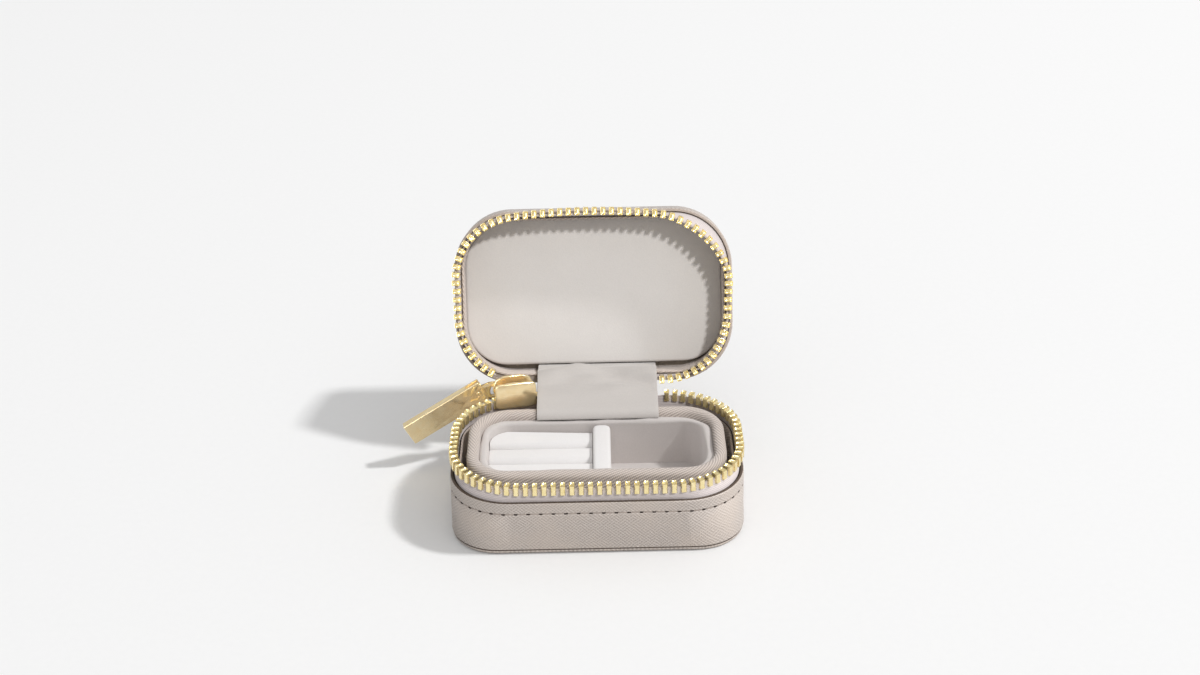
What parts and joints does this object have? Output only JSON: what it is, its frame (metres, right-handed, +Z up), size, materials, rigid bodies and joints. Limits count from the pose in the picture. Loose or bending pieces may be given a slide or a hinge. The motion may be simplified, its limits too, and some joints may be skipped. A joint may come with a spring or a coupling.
{
  "type": "travel jewelry case",
  "caption": "Small zip-round leather jewelry case, standing open, with ring rolls, an open tray room, a padded lid and a metal zip with a bar pull.",
  "frame": {"origin": "middle of the underside of the base, on the surface that the case stands on", "axes": "+X along the width to the case's right, -Y towards the front, +Z up"},
  "size_m": [0.0979, 0.0897, 0.0705],
  "materials": {
    "saffiano_leather": "cross-hatched embossed leather",
    "stiffener_board": "grey board",
    "twill": "fine woven twill",
    "zip_tape": "woven zip tape",
    "thread": "sewing thread",
    "zip_metal": "polished light gold plate",
    "suede": "light grey suede cloth",
    "velvet": "white velvet"
  },
  "bodies": {
    "base": {"base_wall_cover": "saffiano_leather", "base_wall_board": "stiffener_board", "base_end_cover": "saffiano_leather", "base_end_board": "stiffener_board", "base_wall_lining": "twill", "base_stitches": "thread", "base_zip_tape": "zip_tape", "base_zip_teeth": "zip_metal", "collar_board": "stiffener_board", "collar_cover": "twill", "tray_liner": "suede", "tray_divider": "velvet", "ring_roll_base": "stiffener_board", "ring_roll_front": "velvet", "ring_roll_middle": "velvet", "ring_roll_rear": "velvet", "tray_floor_pad": "suede", "hinge_spine": "saffiano_leather", "hinge_stay": "suede"},
    "lid": {"lid_wall_cover": "saffiano_leather", "lid_wall_board": "stiffener_board", "lid_end_cover": "saffiano_leather", "lid_end_board": "stiffener_board", "lid_wall_lining": "twill", "lid_stitches": "thread", "lid_zip_tape": "zip_tape", "lid_zip_teeth": "zip_metal", "lid_panel_card": "stiffener_board", "lid_panel_pad": "suede"},
    "slider": {"slider_body": "zip_metal", "slider_crown": "zip_metal"},
    "link": {"pull_link": "zip_metal", "pull_rivet": "zip_metal"},
    "pull": {"pull_bar": "zip_metal"}
  },
  "joints": [
    {"name": "lid_hinge", "type": "hinge", "parent": "base", "child": "lid", "pos_m": [0, 0.0264, 0.0223], "axis": [1, 0, 0], "range_deg": [0, 111.5], "deforming": ["hinge_spine", "hinge_stay"]},
    {"name": "slider_travel", "type": "hinge", "parent": "base", "child": "slider", "pos_m": [-0.0197, 0.0043, 0.0223], "axis": [0, 0, 1], "range_deg": [0, 76]},
    {"name": "link_swing", "type": "hinge", "parent": "slider", "child": "link", "pos_m": [-0.02439, 0.02733, 0.0223], "axis": [0, 0, -1], "range_deg": [0, 20]},
    {"name": "pull_swing", "type": "hinge", "parent": "link", "child": "pull", "pos_m": [-0.03438, 0.0253, 0.0223], "axis": [-0.1994, 0.9799, 0], "range_deg": [0, 30]}
  ]
}
